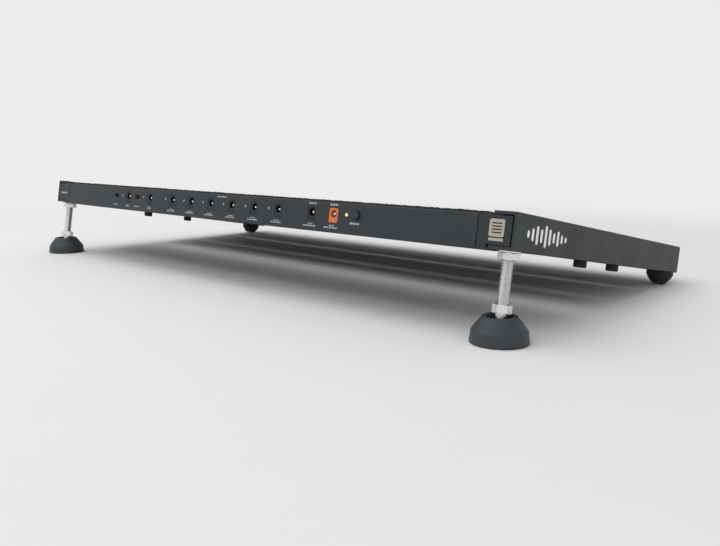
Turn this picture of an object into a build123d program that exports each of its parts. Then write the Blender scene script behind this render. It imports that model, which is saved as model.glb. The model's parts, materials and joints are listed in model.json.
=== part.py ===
"""Guitar pedalboard with a built-in power bar.

A pitched aluminium frame: two C-channel side rails, a hollow power bar across the raised
rear end, a fixed rear and front cross rail, and two cross rails that slide along the side
rails and are clamped from below.  It stands on two screw-adjustable swivel feet at the rear
and two rubber feet at the front.  The sockets face the rear, away from the player.

Millimetres.  +X is along the width, +Y runs from the rear (sockets) to the player's side,
+Z is up.  The origin is on the floor at the centre of the object's bounding box.

Most pieces are laid out in the board's own frame, which is pitched about X:
x along the width, v from the rear face towards the player, w square to the board.
"""
import os
from math import cos, radians, sin

from build123d import *

# ---------------------------------------------------------------- driving dimensions
WIDTH = 600.0  # over the side rails
DEPTH = 300.0  # along the board
PITCH = 9.6  # degrees, rear end raised
RAIL_HEIGHT = 24.0
RAIL_WALL = 2.0
TOP_FLANGE = 16.4
BOTTOM_FLANGE = 18.0
RAIL_EDGE = 0.8  # radius on the outer long edges
FOOT_INSET = 9.0  # every fastener under a side rail is this far in from its outer face

BAR_DEPTH = 44.0  # power bar, along v
BAR_HEIGHT = 22.6
BAR_BOTTOM = -0.9  # the bar hangs a little below the side rails
BAR_TOP = BAR_BOTTOM + BAR_HEIGHT
BAR_WALL = 1.6
BAR_END = 27.0  # from the side rail's outer face to the corner block's shoulder
BAR_SEAM = 0.6  # open joint between the bar's end and that shoulder
COLLAR_START = 18.2

CROSS_WIDTH = 54.0  # cross rails, along v
CROSS_BOTTOM = 2.1
CROSS_TOP = 21.9
CROSS_WALL = 1.6
CROSS_END = 18.5  # from the side rail's outer face to the rail's end
PLUG_LENGTH = 20.0  # how far a block reaches into a cross rail
PLUG_GAP = 0.2  # fore and aft of a plug, and half as much above and below it
REAR_RAIL = 50.0  # v of each cross rail's rear edge
SLIDING_RAIL_A = 127.0
SLIDING_RAIL_B = 186.0
FRONT_RAIL = DEPTH - CROSS_WIDTH

LOOP_THICKNESS = 1.1
LOOP_MARGIN = 2.0
BAR_LOOP_MARGIN = 3.0
BAR_LOOP_THICKNESS = 2.2  # the bar's pile is deeper
LOOP_HALF_LENGTH = 277.0

SOCKET_HEIGHT = 13.1  # w of the socket and lamp centres
JACK_WIDTH = 9.0
JACK_HEIGHT = 11.0
JACK_LENGTH = 14.0
JACK_BORE = 3.0
JACK_PIN = 1.05
JACK_GAP = 0.1  # round a socket in its opening
BOARD_TOP = 6.4  # w of the circuit board's upper face
BOARD_THICKNESS = 1.6
BOARD_HALF_LENGTH = 200.0
JACK_X = [-144.5, -104.5, -65.5, -35.5, -5.5, 24.5, 54.5, 84.5]
LED_OFFSET = -11.3
LED_RADIUS = 1.2
LED_PROUD = 0.4
LED_BACK = 4.6
SWITCH_OPENING = 3.8  # half the width of a slide switch's window
SLIDE_SWITCH_OFFSET = -23.7
LINK_X = 123.4
INPUT_X = 146.3
POWER_LED_X = 160.0
BUTTON_X = 169.8
BUTTON_RADIUS = 3.1
BUTTON_PROUD = 2.0
BUTTON_TRAVEL = 2.0
KNOB_WIDTH = 3.4
KNOB_TRAVEL = 3.6

CLAMP_SETBACK = 13.0  # clamp screw axis behind the sliding rail's rear edge
CLAMP_RANGE = (88.0, 240.0)  # ends of the adjusting slot, v
M5 = 2.45  # radius of an M5 screw's shank
M5_HOLE = M5 + 0.2
CROSS_SCREW_TOP = 14.0  # w of the ends of the cross rails' screws and of their tapped holes
CROSS_TAP_TOP = 16.0
FOOT_SCREW_TOP = 12.0  # the same for the rubber feet
FOOT_TAP_TOP = 13.0
CLAMP_HEAD_RADIUS = 4.8
CLAMP_HEAD_HEIGHT = 5.3

RUBBER_V = 282.0
RUBBER_RADIUS = 11.4
RUBBER_TIP = 5.6
RUBBER_HEIGHT = 11.0

SPINDLE_V = 11.0
SPINDLE_RADIUS = 4.0
SPINDLE_HOLE = SPINDLE_RADIUS + 0.4  # where the rod passes freely
SPINDLE_TOP = 12.0  # w
RUNNING = 0.05  # radial clearance of a running fit
HEX_TOP = -33.3
HEX_HEIGHT = 6.0
HEX_FLATS = 11.0
NECK_RADIUS = 4.0
BALL_RADIUS = 5.0
BALL_Z = 9.5
WASHER_THICKNESS = 1.2
WASHER_RADIUS = 8.0
NUT_FLATS = 12.0
NUT_HEIGHT = 4.6
BASE_RADIUS = 19.0
SHOULDER_RADIUS = 18.1
SHOULDER_Z = 8.0
BASE_TOP_RADIUS = 11.2
BASE_TOP_Z = 17.0
BASE_RECESS = 8.4
CUP_RADIUS = 6.4
PAD_THICKNESS = 1.8
PAD_RADIUS = 16.9
HEX_TURN = {"left": 4.0, "right": 30.0}  # how the two feet happen to be turned

# ---------------------------------------------------------------- the board's frame
SIN, COS = sin(radians(PITCH)), cos(radians(PITCH))
HALF = WIDTH / 2
RUN = Vector(0, COS, -SIN)
UP = Vector(0, SIN, COS)
# the front feet's lower rear rims touch the floor
BOARD_Z = RUBBER_V * SIN + RUBBER_HEIGHT * COS + RUBBER_TIP * SIN
BALL_W = (BALL_Z - BOARD_Z + SPINDLE_V * SIN) / COS
BASE_Y = SPINDLE_V * COS + BALL_W * SIN
BOARD_Y = -(BASE_Y - BASE_RADIUS + DEPTH * COS + RAIL_HEIGHT * SIN) / 2
BALL_Y = BOARD_Y + BASE_Y


def at(x, v, w):
    """World point of a point in the board's frame."""
    return Vector(x, BOARD_Y, BOARD_Z) + RUN * v + UP * w


board = Plane(origin=at(0, 0, 0), x_dir=(1, 0, 0), z_dir=UP)


def facing_rear(v):
    """Plane square to the board and to its length; local axes x, w; normal to the rear."""
    return Plane(origin=at(0, v, 0), x_dir=(1, 0, 0), z_dir=-RUN)


def section_plane(x=0.0):
    """Plane square to the width; local axes v, w; normal +X."""
    return Plane(origin=at(x, 0, 0), x_dir=RUN, z_dir=(1, 0, 0))


# ---------------------------------------------------------------- helpers used inside blocks
def block(x0, x1, v0, v1, w0, w1, mode=Mode.ADD):
    """A box between two corners, in the frame of the current BuildPart."""
    with Locations(((x0 + x1) / 2, (v0 + v1) / 2, (w0 + w1) / 2)):
        Box(abs(x1 - x0), v1 - v0, w1 - w0, mode=mode)


def post(x, v, w0, w1, radius, mode=Mode.ADD):
    """A cylinder square to the board."""
    with Locations((x, v, (w0 + w1) / 2)):
        Cylinder(radius, w1 - w0, mode=mode)


def spigot(x, w, v0, v1, radius, mode=Mode.ADD):
    """A cylinder along the board's length, as a socket or a lamp lies."""
    with Locations((x, (v0 + v1) / 2, w)):
        Cylinder(radius, v1 - v0, rotation=(90, 0, 0), mode=mode)


def hexagon(x, v, w0, w1, flats, turn):
    """A hexagonal prism square to the board."""
    with BuildSketch(board.offset(w0)) as outline:
        with Locations((x, v)):
            RegularPolygon(flats / 2, 6, major_radius=False, rotation=turn)
    extrude(outline.sketch, amount=w1 - w0)


os.makedirs("parts", exist_ok=True)


def save(piece, name):
    """Label a finished piece and write it as its own STEP file."""
    piece.part.label = name
    export_step(piece.part, f"parts/{name}.step")


def save_with_mirror(piece, name):
    """Write a right-hand piece and its mirror image on the left."""
    save(piece, f"{name}_right")
    with BuildPart() as left_piece:
        mirror(piece.part, about=Plane.YZ)
    save(left_piece, f"{name}_left")


# ---------------------------------------------------------------- side rails
OUTER = HALF
RAIL_AXIS = HALF - FOOT_INSET
FIXED_SCREW_V = REAR_RAIL + 10

with BuildPart() as side_rail:
    with BuildSketch(facing_rear(0)) as channel:
        with Locations((OUTER, 0)):
            Rectangle(BOTTOM_FLANGE, RAIL_HEIGHT, align=(Align.MAX, Align.MIN))
        with Locations((OUTER - RAIL_WALL, RAIL_WALL)):
            Rectangle(
                BOTTOM_FLANGE,
                RAIL_HEIGHT - 2 * RAIL_WALL,
                align=(Align.MAX, Align.MIN),
                mode=Mode.SUBTRACT,
            )
        # the top flange is a little narrower than the bottom one
        with Locations((OUTER - TOP_FLANGE, RAIL_HEIGHT)):
            Rectangle(
                RAIL_WALL * 2,
                RAIL_WALL * 2,
                align=(Align.MAX, Align.CENTER),
                mode=Mode.SUBTRACT,
            )
        fillet(channel.vertices().sort_by(Axis.X)[-2:], RAIL_EDGE)
    extrude(amount=-DEPTH)
    with BuildSketch(board):
        with Locations((RAIL_AXIS, SPINDLE_V)):
            Circle(SPINDLE_HOLE)
        with Locations((RAIL_AXIS, FIXED_SCREW_V), (RAIL_AXIS, RUBBER_V)):
            Circle(M5_HOLE)
        with Locations((RAIL_AXIS, sum(CLAMP_RANGE) / 2)):
            SlotOverall(CLAMP_RANGE[1] - CLAMP_RANGE[0], 2 * M5 + 0.6, rotation=90)
    extrude(amount=RAIL_WALL, mode=Mode.SUBTRACT)
    # countersink for the fixed rear cross rail's screw
    with BuildSketch(board):
        with Locations((RAIL_AXIS, FIXED_SCREW_V)):
            Circle(M5_HOLE + RAIL_WALL)
    extrude(amount=RAIL_WALL, taper=45, mode=Mode.SUBTRACT)
save_with_mirror(side_rail, "side_rail")

# ---------------------------------------------------------------- corner blocks
CHANNEL_SIDE = HALF - 3.0  # outer face of what sits in the channel
TONGUE_TOP = 21.0
INSERT_RADIUS = 5.5
INSERT_TOP = 14.0
BAR_PLUG = 14.0  # how far a corner block reaches into the bar
NOTCH = 3.0  # depth of the reliefs in its rear face

with BuildPart(board) as rear_corner:
    shoulder, collar = HALF - BAR_END, HALF - COLLAR_START
    tongue = collar - 0.5
    block(tongue, CHANNEL_SIDE, 0, BAR_DEPTH - 4, RAIL_WALL, TONGUE_TOP)
    block(shoulder, collar, 0, BAR_DEPTH, BAR_BOTTOM, BAR_TOP)
    plug_top = BAR_TOP - BAR_WALL - 0.5
    block(shoulder - BAR_PLUG, shoulder, 3.6, BAR_DEPTH - 3.6, 1.0, plug_top)
    # relief under the tongue where it shows at the rear
    block(tongue, CHANNEL_SIDE, 0, NOTCH, RAIL_WALL, RAIL_WALL + 0.4, Mode.SUBTRACT)
    # keying notch beside the side rail's lower flange
    block(collar - 1.4, collar, 0, NOTCH, 0.6, 2.8, mode=Mode.SUBTRACT)
    post(RAIL_AXIS, SPINDLE_V, RAIL_WALL, INSERT_TOP, INSERT_RADIUS, mode=Mode.SUBTRACT)
    post(RAIL_AXIS, SPINDLE_V, INSERT_TOP, TONGUE_TOP, SPINDLE_HOLE, mode=Mode.SUBTRACT)
save_with_mirror(rear_corner, "rear_corner")

with BuildPart(board) as front_corner:
    block(HALF - CROSS_END, CHANNEL_SIDE, FRONT_RAIL + 8, DEPTH, RAIL_WALL, TONGUE_TOP)
    block(
        HALF - CROSS_END - PLUG_LENGTH,
        HALF - CROSS_END,
        DEPTH - CROSS_WIDTH / 2 + CROSS_WALL,
        DEPTH - CROSS_WALL - PLUG_GAP,
        CROSS_BOTTOM + CROSS_WALL + PLUG_GAP / 2,
        CROSS_TOP - CROSS_WALL - PLUG_GAP / 2,
    )
    post(RAIL_AXIS, RUBBER_V, RAIL_WALL, FOOT_TAP_TOP, M5 + RUNNING, Mode.SUBTRACT)
save_with_mirror(front_corner, "front_corner")

with BuildPart(board) as foot_inserts:
    for x in (-RAIL_AXIS, RAIL_AXIS):
        post(x, SPINDLE_V, RAIL_WALL, INSERT_TOP, INSERT_RADIUS)
        post(x, SPINDLE_V, RAIL_WALL, INSERT_TOP, SPINDLE_RADIUS + RUNNING, mode=Mode.SUBTRACT)
save(foot_inserts, "foot_inserts")

# ---------------------------------------------------------------- power bar
LEDGE = 1.8

with BuildPart(board) as power_bar:
    with BuildSketch(section_plane()):
        with Locations((BAR_DEPTH / 2, BAR_BOTTOM + BAR_HEIGHT / 2)):
            RectangleRounded(BAR_DEPTH, BAR_HEIGHT, RAIL_EDGE)
            Rectangle(BAR_DEPTH - 2 * BAR_WALL, BAR_HEIGHT - 2 * BAR_WALL, mode=Mode.SUBTRACT)
        # two ledges that carry the circuit board
        for v in (BAR_WALL, BAR_DEPTH - BAR_WALL - LEDGE):
            with Locations((v, BOARD_TOP - BOARD_THICKNESS)):
                Rectangle(LEDGE, LEDGE, align=(Align.MIN, Align.MAX))
    extrude(amount=HALF - BAR_END - BAR_SEAM, both=True)
    # openings in the rear wall
    reach = JACK_WIDTH / 2 + JACK_GAP
    low, high = BOARD_TOP - JACK_GAP, BOARD_TOP + JACK_HEIGHT + JACK_GAP
    for x in JACK_X + [LINK_X, INPUT_X]:
        block(x - reach, x + reach, 0, BAR_WALL, low, high, Mode.SUBTRACT)
    for x in [jack + LED_OFFSET for jack in JACK_X] + [POWER_LED_X]:
        spigot(x, SOCKET_HEIGHT, 0, BAR_WALL, LED_RADIUS + JACK_GAP, Mode.SUBTRACT)
    spigot(BUTTON_X, SOCKET_HEIGHT, 0, BAR_WALL, BUTTON_RADIUS + 0.5, mode=Mode.SUBTRACT)
    for jack in JACK_X[:2]:
        x = jack + SLIDE_SWITCH_OFFSET
        low, high = SOCKET_HEIGHT - 2.0, SOCKET_HEIGHT + 1.8
        block(x - SWITCH_OPENING, x + SWITCH_OPENING, 0, BAR_WALL, low, high, Mode.SUBTRACT)
save(power_bar, "power_bar_housing")

with BuildPart(board) as circuit_board:
    rear, front = BAR_WALL + 0.3, BAR_DEPTH - BAR_WALL - 0.3
    low = BOARD_TOP - BOARD_THICKNESS
    block(-BOARD_HALF_LENGTH, BOARD_HALF_LENGTH, rear, front, low, BOARD_TOP)
save(circuit_board, "power_bar_circuit_board")

with BuildPart(board) as power_modules:
    # one isolating converter behind each output, and two filter capacitors by the input
    for x in JACK_X:
        block(x - 8, x + 8, 18, 30, BOARD_TOP, BOARD_TOP + 10)
    for x in (LINK_X, INPUT_X):
        post(x, 26, BOARD_TOP, BOARD_TOP + 12, 5)
save(power_modules, "power_modules")

FACE_SETBACK = 0.2
BORE_DEPTH = 10.0


def build_jack(x, name):
    """A square-faced barrel socket that stands on the circuit board."""
    half = JACK_WIDTH / 2
    with BuildPart(board) as jack:
        block(x - half, x + half, FACE_SETBACK, JACK_LENGTH, BOARD_TOP, BOARD_TOP + JACK_HEIGHT)
        spigot(x, SOCKET_HEIGHT, FACE_SETBACK, BORE_DEPTH, JACK_BORE, mode=Mode.SUBTRACT)
        spigot(x, SOCKET_HEIGHT, BORE_DEPTH, BORE_DEPTH + 2, JACK_PIN, mode=Mode.SUBTRACT)
    save(jack, name)


for number, jack_x in enumerate(JACK_X, 1):
    build_jack(jack_x, f"output_jack_{number}")
build_jack(LINK_X, "link_jack")
build_jack(INPUT_X, "input_jack")

with BuildPart(board) as jack_pins:
    for x in JACK_X + [LINK_X, INPUT_X]:
        spigot(x, SOCKET_HEIGHT, 1.2, BORE_DEPTH + 2, JACK_PIN)
save(jack_pins, "jack_pins")


def led(x):
    """A small round lamp with a flange behind the panel and two legs to the circuit board."""
    spigot(x, SOCKET_HEIGHT, -LED_PROUD, LED_BACK, LED_RADIUS)
    spigot(x, SOCKET_HEIGHT, BAR_WALL + 0.1, BAR_WALL + 1.1, LED_RADIUS + 0.4)
    for side in (-1, 1):
        leg = x + side * 0.7
        block(leg - 0.25, leg + 0.25, LED_BACK - 0.5, LED_BACK, BOARD_TOP, SOCKET_HEIGHT)


with BuildPart(board) as status_leds:
    for jack in JACK_X:
        led(jack + LED_OFFSET)
save(status_leds, "status_leds")

with BuildPart(board) as power_led:
    led(POWER_LED_X)
save(power_led, "power_led")

STEM_RADIUS = 1.5
SWITCH_FRONT = 5.5

with BuildPart(board) as power_switch:
    block(BUTTON_X - 4, BUTTON_X + 4, SWITCH_FRONT, SWITCH_FRONT + 12, BOARD_TOP, BOARD_TOP + 11)
    stem_hole = STEM_RADIUS + RUNNING
    spigot(BUTTON_X, SOCKET_HEIGHT, SWITCH_FRONT, SWITCH_FRONT + 10, stem_hole, Mode.SUBTRACT)
save(power_switch, "power_switch_body")

with BuildPart(board) as power_button:
    spigot(BUTTON_X, SOCKET_HEIGHT, -BUTTON_PROUD, SWITCH_FRONT - BUTTON_TRAVEL - 0.5, BUTTON_RADIUS)
    chamfer(power_button.edges().group_by(Axis.Y)[0], 0.4)
    spigot(BUTTON_X, SOCKET_HEIGHT, SWITCH_FRONT - BUTTON_TRAVEL - 0.5, SWITCH_FRONT + 6, STEM_RADIUS)
save(power_button, "power_button")

KNOB_W = SOCKET_HEIGHT - 0.1

with BuildPart(board) as slide_switches:
    for jack in JACK_X[:2]:
        x = jack + SLIDE_SWITCH_OFFSET
        block(x - 6, x + 6, BAR_WALL + 0.6, BAR_WALL + 7, BOARD_TOP, BOARD_TOP + 10)
        front, floor = BAR_WALL + 0.6, BAR_WALL + 3.6
        x0, x1 = x - SWITCH_OPENING, x + SWITCH_OPENING
        block(x0, x1, front, floor, KNOB_W - 1.8, KNOB_W + 1.8, Mode.SUBTRACT)
save(slide_switches, "slide_switch_bodies")

for number, jack in enumerate(JACK_X[:2], 1):
    x = jack + SLIDE_SWITCH_OFFSET - KNOB_TRAVEL / 2
    with BuildPart(board) as knob:
        block(x - KNOB_WIDTH / 2, x + KNOB_WIDTH / 2, 0.5, BAR_WALL + 3.4, KNOB_W - 1.5, KNOB_W + 1.5)
        # two finger grooves across the knob's face
        for middle in (x - 0.8, x + 0.8):
            block(middle - 0.2, middle + 0.2, 0.5, 0.9, KNOB_W - 1.5, KNOB_W + 1.5, Mode.SUBTRACT)
    save(knob, f"slide_switch_knob_{number}")

# ---------------------------------------------------------------- cross rails
TONGUE_LENGTH = 40.0
CHANNEL_GAP = 0.2  # above and below a tongue in the channel
TONGUE_RELIEF = 0.3


def build_cross_rail(rear_edge, name):
    """A hollow two-chamber extrusion across the board."""
    with BuildPart(board) as rail:
        with BuildSketch(section_plane()):
            with Locations((rear_edge + CROSS_WIDTH / 2, (CROSS_BOTTOM + CROSS_TOP) / 2)):
                RectangleRounded(CROSS_WIDTH, CROSS_TOP - CROSS_BOTTOM, RAIL_EDGE)
            chamber = CROSS_WIDTH / 2 - 1.5 * CROSS_WALL
            for offset in (CROSS_WALL, CROSS_WIDTH / 2 + CROSS_WALL / 2):
                with Locations((rear_edge + offset, CROSS_BOTTOM + CROSS_WALL)):
                    Rectangle(
                        chamber,
                        CROSS_TOP - CROSS_BOTTOM - 2 * CROSS_WALL,
                        align=(Align.MIN, Align.MIN),
                        mode=Mode.SUBTRACT,
                    )
        extrude(amount=HALF - CROSS_END, both=True)
    save(rail, name)


def build_end_blocks(rear_edge, tongue_start, screw_v, name):
    """The two blocks that plug into a cross rail's ends and slide in the side rails' channels."""
    with BuildPart(board) as blocks:
        for side in (-1, 1):
            inner, outer = side * (HALF - CROSS_END), side * CHANNEL_SIDE
            x0, x1 = sorted((inner, outer))
            low, high = RAIL_WALL + CHANNEL_GAP, RAIL_HEIGHT - RAIL_WALL - CHANNEL_GAP
            block(x0, x1, tongue_start, tongue_start + TONGUE_LENGTH, low, high)
            if tongue_start < rear_edge:
                # relief, so that the tongue passes the end of the rail behind it
                x0, x1 = sorted((inner, inner + side * TONGUE_RELIEF))
                block(x0, x1, tongue_start, rear_edge, low, high, Mode.SUBTRACT)
            x0, x1 = sorted((inner, inner - side * PLUG_LENGTH))
            block(
                x0,
                x1,
                rear_edge + CROSS_WALL + PLUG_GAP,
                rear_edge + CROSS_WIDTH / 2 - CROSS_WALL / 2 - PLUG_GAP,
                CROSS_BOTTOM + CROSS_WALL + PLUG_GAP / 2,
                CROSS_TOP - CROSS_WALL - PLUG_GAP / 2,
            )
            post(side * RAIL_AXIS, screw_v, low, CROSS_TAP_TOP, M5 + RUNNING, Mode.SUBTRACT)
    save(blocks, name)


def build_loop_strip(v0, v1, w, half_length, name, thickness=LOOP_THICKNESS):
    """A flat strip of loop fabric glued along the top of a rail."""
    with BuildPart(board) as strip:
        block(-half_length, half_length, v0, v1, w, w + thickness)
    save(strip, name)


def build_rail_strip(rear_edge, name):
    """The loop strip of one cross rail."""
    v0, v1 = rear_edge + LOOP_MARGIN, rear_edge + CROSS_WIDTH - LOOP_MARGIN
    build_loop_strip(v0, v1, CROSS_TOP, HALF - CROSS_END - LOOP_MARGIN, name)


build_cross_rail(REAR_RAIL, "rear_cross_rail")
build_end_blocks(REAR_RAIL, REAR_RAIL + 1, FIXED_SCREW_V, "rear_rail_end_blocks")
build_rail_strip(REAR_RAIL, "loop_strip_rear_rail")
build_cross_rail(FRONT_RAIL, "front_cross_rail")
build_rail_strip(FRONT_RAIL, "loop_strip_front_rail")
build_loop_strip(
    BAR_LOOP_MARGIN,
    BAR_DEPTH - BAR_LOOP_MARGIN,
    BAR_TOP,
    LOOP_HALF_LENGTH,
    "loop_strip_power_bar",
    BAR_LOOP_THICKNESS,
)

for letter, rear_edge in (("a", SLIDING_RAIL_A), ("b", SLIDING_RAIL_B)):
    clamp_v = rear_edge - CLAMP_SETBACK
    build_cross_rail(rear_edge, f"sliding_cross_rail_{letter}")
    build_end_blocks(rear_edge, clamp_v - 5, clamp_v, f"sliding_rail_{letter}_end_blocks")
    build_rail_strip(rear_edge, f"loop_strip_sliding_rail_{letter}")
    with BuildPart(board) as clamp_screws:
        for x in (-RAIL_AXIS, RAIL_AXIS):
            post(x, clamp_v, -CLAMP_HEAD_HEIGHT, 0, CLAMP_HEAD_RADIUS)
        chamfer(clamp_screws.faces().sort_by(Axis.Z)[:2].edges(), 0.4)
        for x in (-RAIL_AXIS, RAIL_AXIS):
            post(x, clamp_v, 0, CROSS_SCREW_TOP, M5)
        with BuildSketch(board.offset(-CLAMP_HEAD_HEIGHT)):
            with Locations((-RAIL_AXIS, clamp_v), (RAIL_AXIS, clamp_v)):
                RegularPolygon(2, 6, major_radius=False)
        extrude(amount=2.6, mode=Mode.SUBTRACT)
    save(clamp_screws, f"clamp_screws_{letter}")

with BuildPart(board) as fixed_screws:
    for x in (-RAIL_AXIS, RAIL_AXIS):
        with BuildSketch(board.offset(0.1)):
            with Locations((x, FIXED_SCREW_V)):
                Circle(M5 + RAIL_WALL)
        extrude(amount=RAIL_WALL, taper=45)
        post(x, FIXED_SCREW_V, 1.0, CROSS_SCREW_TOP, M5)
    with BuildSketch(board.offset(0.1)):
        with Locations((-RAIL_AXIS, FIXED_SCREW_V), (RAIL_AXIS, FIXED_SCREW_V)):
            RegularPolygon(1.5, 6, major_radius=False)
    extrude(amount=1.4, mode=Mode.SUBTRACT)
save(fixed_screws, "fixed_rail_screws")

# ---------------------------------------------------------------- rubber front feet
HEAD_SEAT = -5.0
foot_plane = Plane(origin=at(RAIL_AXIS, RUBBER_V, 0), x_dir=(1, 0, 0), z_dir=-RUN)

with BuildPart() as rubber_foot:
    with BuildSketch(foot_plane) as foot_profile:
        with BuildLine():
            Polyline((0, 0), (RUBBER_RADIUS, 0), (RUBBER_RADIUS, -3))
            ThreePointArc((RUBBER_RADIUS, -3), (9.2, -7.3), (RUBBER_TIP, -RUBBER_HEIGHT))
            Polyline((RUBBER_TIP, -RUBBER_HEIGHT), (0, -RUBBER_HEIGHT), (0, 0))
        make_face()
        with Locations((0, 0)):
            Rectangle(M5_HOLE, 12, align=(Align.MIN, Align.MAX), mode=Mode.SUBTRACT)
        with Locations((0, HEAD_SEAT)):
            Rectangle(5, 12, align=(Align.MIN, Align.MAX), mode=Mode.SUBTRACT)
    revolve(axis=Axis(foot_plane.origin, UP))
save_with_mirror(rubber_foot, "rubber_foot")

with BuildPart(board) as foot_screws:
    for x in (-RAIL_AXIS, RAIL_AXIS):
        post(x, RUBBER_V, HEAD_SEAT - 2.6, HEAD_SEAT, 4.6)
        post(x, RUBBER_V, HEAD_SEAT, FOOT_SCREW_TOP, M5)
    with BuildSketch(board.offset(HEAD_SEAT - 2.6)):
        for turn in (0, 90):
            with Locations((-RAIL_AXIS, RUBBER_V), (RAIL_AXIS, RUBBER_V)):
                Rectangle(4.4, 0.8, rotation=turn)
    extrude(amount=1.4, mode=Mode.SUBTRACT)
save(foot_screws, "rubber_foot_screws")

# ---------------------------------------------------------------- levelling feet
for side_name, side in (("left", -1), ("right", 1)):
    foot_x = side * RAIL_AXIS
    turn = HEX_TURN[side_name]
    ball = Plane(origin=(foot_x, BALL_Y, BALL_Z), x_dir=(1, 0, 0), z_dir=UP)

    with BuildPart(board) as spindle:
        post(foot_x, SPINDLE_V, HEX_TOP, SPINDLE_TOP, SPINDLE_RADIUS)
        chamfer(spindle.edges().group_by(Axis.Z)[-1], 0.8)
        hexagon(foot_x, SPINDLE_V, HEX_TOP - HEX_HEIGHT, HEX_TOP, HEX_FLATS, turn)
        post(foot_x, SPINDLE_V, BALL_W, HEX_TOP - HEX_HEIGHT, NECK_RADIUS)
        with Locations((foot_x, SPINDLE_V, BALL_W)):
            Sphere(BALL_RADIUS)
    save(spindle, f"foot_spindle_{side_name}")

    with BuildPart(board) as washer:
        post(foot_x, SPINDLE_V, -WASHER_THICKNESS, 0, WASHER_RADIUS)
        post(foot_x, SPINDLE_V, -WASHER_THICKNESS, 0, SPINDLE_RADIUS + 0.2, mode=Mode.SUBTRACT)
    save(washer, f"foot_washer_{side_name}")

    with BuildPart(board) as jam_nut:
        seat = -WASHER_THICKNESS
        hexagon(foot_x, SPINDLE_V, seat - NUT_HEIGHT, seat, NUT_FLATS, turn)
        bore = SPINDLE_RADIUS + RUNNING
        post(foot_x, SPINDLE_V, seat - NUT_HEIGHT, seat, bore, Mode.SUBTRACT)
    save(jam_nut, f"foot_jam_nut_{side_name}")

    with BuildPart(ball) as ball_cup:
        Sphere(CUP_RADIUS)
        Sphere(BALL_RADIUS + RUNNING, mode=Mode.SUBTRACT)
        with Locations((0, 0, 2.3)):
            Box(20, 20, 10, align=(Align.CENTER, Align.CENTER, Align.MIN), mode=Mode.SUBTRACT)
    save(ball_cup, f"foot_ball_cup_{side_name}")

    base_plane = Plane(origin=(foot_x, BALL_Y, 0), x_dir=(1, 0, 0), z_dir=(0, -1, 0))
    with BuildPart() as base:
        with BuildSketch(base_plane):
            with BuildLine():
                Polyline(
                    (0, 0.3),
                    (BASE_RADIUS, 0.3),
                    (SHOULDER_RADIUS, SHOULDER_Z),
                    (BASE_TOP_RADIUS, BASE_TOP_Z),
                    (0, BASE_TOP_Z),
                    (0, 0.3),
                )
            make_face()
            with Locations((0, BASE_TOP_Z)):
                Rectangle(
                    BASE_RECESS,
                    BASE_TOP_Z - BALL_Z - 2.5,
                    align=(Align.MIN, Align.MAX),
                    mode=Mode.SUBTRACT,
                )
            Rectangle(
                PAD_RADIUS + 0.1,
                PAD_THICKNESS,
                align=(Align.MIN, Align.MIN),
                mode=Mode.SUBTRACT,
            )
        revolve(axis=Axis((foot_x, BALL_Y, 0), (0, 0, 1)))
        with Locations((foot_x, BALL_Y, BALL_Z)):
            Sphere(CUP_RADIUS + RUNNING, mode=Mode.SUBTRACT)
        top_face = base.faces().filter_by(Axis.Z).sort_by(Axis.Z)[-1]
        fillet(top_face.edges(), 0.7)
    save(base, f"foot_base_{side_name}")

    with BuildPart() as pad:
        with BuildSketch(Plane(origin=(foot_x, BALL_Y, 0))):
            Circle(PAD_RADIUS)
        extrude(amount=PAD_THICKNESS)
    save(pad, f"foot_pad_{side_name}")

if __name__ == "__main__":
    print("board origin y %.3f z %.3f" % (BOARD_Y, BOARD_Z))
    print("ball centre y %.3f z %.3f, at w %.3f" % (BALL_Y, BALL_Z, BALL_W))
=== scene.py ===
"""Looks of the pedalboard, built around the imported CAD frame.

Most pieces are drawn in the board's own frame, in millimetres: x along the width, v from the
rear face towards the player, w square to the board.  BOARD takes that frame to the row frame.
"""

import json
import math
import random

import bmesh
import bpy
from mathutils import Matrix, Vector

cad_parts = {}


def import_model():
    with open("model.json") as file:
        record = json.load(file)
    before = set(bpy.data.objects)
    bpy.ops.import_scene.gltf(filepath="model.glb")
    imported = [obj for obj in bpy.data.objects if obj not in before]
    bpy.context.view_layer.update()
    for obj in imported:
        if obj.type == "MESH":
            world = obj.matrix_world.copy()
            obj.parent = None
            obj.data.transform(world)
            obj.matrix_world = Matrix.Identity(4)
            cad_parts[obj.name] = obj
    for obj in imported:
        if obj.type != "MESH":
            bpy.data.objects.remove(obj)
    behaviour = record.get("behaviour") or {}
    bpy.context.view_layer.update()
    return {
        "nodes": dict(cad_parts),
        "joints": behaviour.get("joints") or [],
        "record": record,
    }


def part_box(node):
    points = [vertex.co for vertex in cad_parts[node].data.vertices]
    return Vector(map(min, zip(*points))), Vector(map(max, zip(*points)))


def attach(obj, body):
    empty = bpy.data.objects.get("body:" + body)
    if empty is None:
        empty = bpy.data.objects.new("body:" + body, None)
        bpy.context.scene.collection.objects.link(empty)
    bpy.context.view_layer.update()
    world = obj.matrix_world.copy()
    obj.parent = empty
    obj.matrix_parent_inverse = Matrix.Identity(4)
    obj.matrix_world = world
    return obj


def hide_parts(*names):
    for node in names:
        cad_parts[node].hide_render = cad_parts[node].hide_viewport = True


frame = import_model()

MM = 0.001
SIDES = ("left", "right")

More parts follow.
